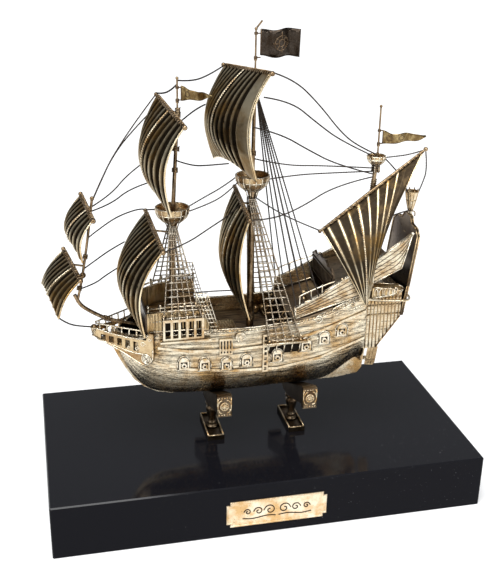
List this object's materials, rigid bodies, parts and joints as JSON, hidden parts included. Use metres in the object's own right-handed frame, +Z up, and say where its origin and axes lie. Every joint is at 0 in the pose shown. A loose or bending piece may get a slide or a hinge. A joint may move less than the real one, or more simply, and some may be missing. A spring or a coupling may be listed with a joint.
{
  "type": "model sailing ship",
  "caption": "Tarnished silver model galleon with billowing ribbed sails, wire rigging, swivelling flags and a hung rudder, held on two baluster stands above a black lacquered plinth.",
  "frame": {"origin": "middle of the plinth's underside", "axes": "+Z up, -X towards the bow and +X towards the stern, -Y the ship's port side, which carries the nameplate"},
  "size_m": [0.3, 0.1562, 0.3284],
  "materials": {
    "black_lacquer": "black piano lacquer, polished to a mirror gloss",
    "tarnished_silver": "cast and chased silver with warm tarnish and dark recesses",
    "sail_silver": "thin ribbed silver sheet, polished ribs over darkened hollows",
    "oxidised_silver": "oxidised silver wire and sheet, nearly black",
    "plain_steel": "plain bright zinc-plated fastener steel"
  },
  "bodies": {
    "ship": {"backstays": "oxidised_silver", "beakhead": "tarnished_silver", "bowsprit": "tarnished_silver", "bulkheads": "tarnished_silver", "fore_course_sail": "sail_silver", "fore_course_yard": "tarnished_silver", "fore_mast": "tarnished_silver", "fore_top": "tarnished_silver", "fore_topmast": "tarnished_silver", "fore_topsail_sail": "sail_silver", "fore_topsail_yard": "tarnished_silver", "forecastle_bulwark": "tarnished_silver", "forecastle_deck": "tarnished_silver", "gun_port_frames": "tarnished_silver", "guns": "tarnished_silver", "hull_shell": "tarnished_silver", "keel": "tarnished_silver", "main_course_sail": "sail_silver", "main_course_yard": "tarnished_silver", "main_deck": "tarnished_silver", "main_mast": "tarnished_silver", "main_top": "tarnished_silver", "main_topmast": "tarnished_silver", "main_topsail_sail": "sail_silver", "main_topsail_yard": "tarnished_silver", "mizzen_mast": "tarnished_silver", "mizzen_sail": "sail_silver", "mizzen_staff": "tarnished_silver", "mizzen_top": "tarnished_silver", "mizzen_yard": "tarnished_silver", "nameplate": "tarnished_silver", "plinth": "black_lacquer", "poop_bulwarks": "tarnished_silver", "poop_decks": "tarnished_silver", "quarter_galleries": "tarnished_silver", "quarterdeck": "tarnished_silver", "rudder_gudgeons": "tarnished_silver", "shrouds": "oxidised_silver", "side_fittings": "tarnished_silver", "sprit_topmast": "tarnished_silver", "sprit_topsail_sail": "sail_silver", "sprit_topsail_yard": "tarnished_silver", "spritsail_sail": "sail_silver", "spritsail_yard": "tarnished_silver", "stand_columns": "tarnished_silver", "stand_feet": "tarnished_silver", "stand_nuts": "plain_steel", "stand_rods": "plain_steel", "stand_washers": "plain_steel", "stand_yokes": "tarnished_silver", "stays": "oxidised_silver", "stern_counter": "tarnished_silver", "stern_lantern": "tarnished_silver", "stern_rail": "tarnished_silver", "transom": "tarnished_silver", "wales": "tarnished_silver"},
    "rudder": {"rudder": "tarnished_silver"},
    "main_flag": {"main_flag": "oxidised_silver"},
    "fore_pennant": {"fore_pennant": "tarnished_silver"},
    "mizzen_pennant": {"mizzen_pennant": "tarnished_silver"}
  },
  "joints": [
    {"name": "rudder_hinge", "type": "hinge", "parent": "ship", "child": "rudder", "pos_m": [0.0844, 0, 0.08], "axis": [0.1357, 0, 0.9907], "range_deg": [-30, 30]},
    {"name": "main_flag_swivel", "type": "hinge", "parent": "ship", "child": "main_flag", "pos_m": [-0.0025, 0, 0.3045], "axis": [0, 0, 1], "continuous": true},
    {"name": "fore_pennant_swivel", "type": "hinge", "parent": "ship", "child": "fore_pennant", "pos_m": [-0.0528, 0, 0.279], "axis": [0, 0, 1], "range_deg": [-150, 70]},
    {"name": "mizzen_pennant_swivel", "type": "hinge", "parent": "ship", "child": "mizzen_pennant", "pos_m": [0.0842, 0, 0.246], "axis": [0, 0, 1], "range_deg": [-135, 135]}
  ]
}
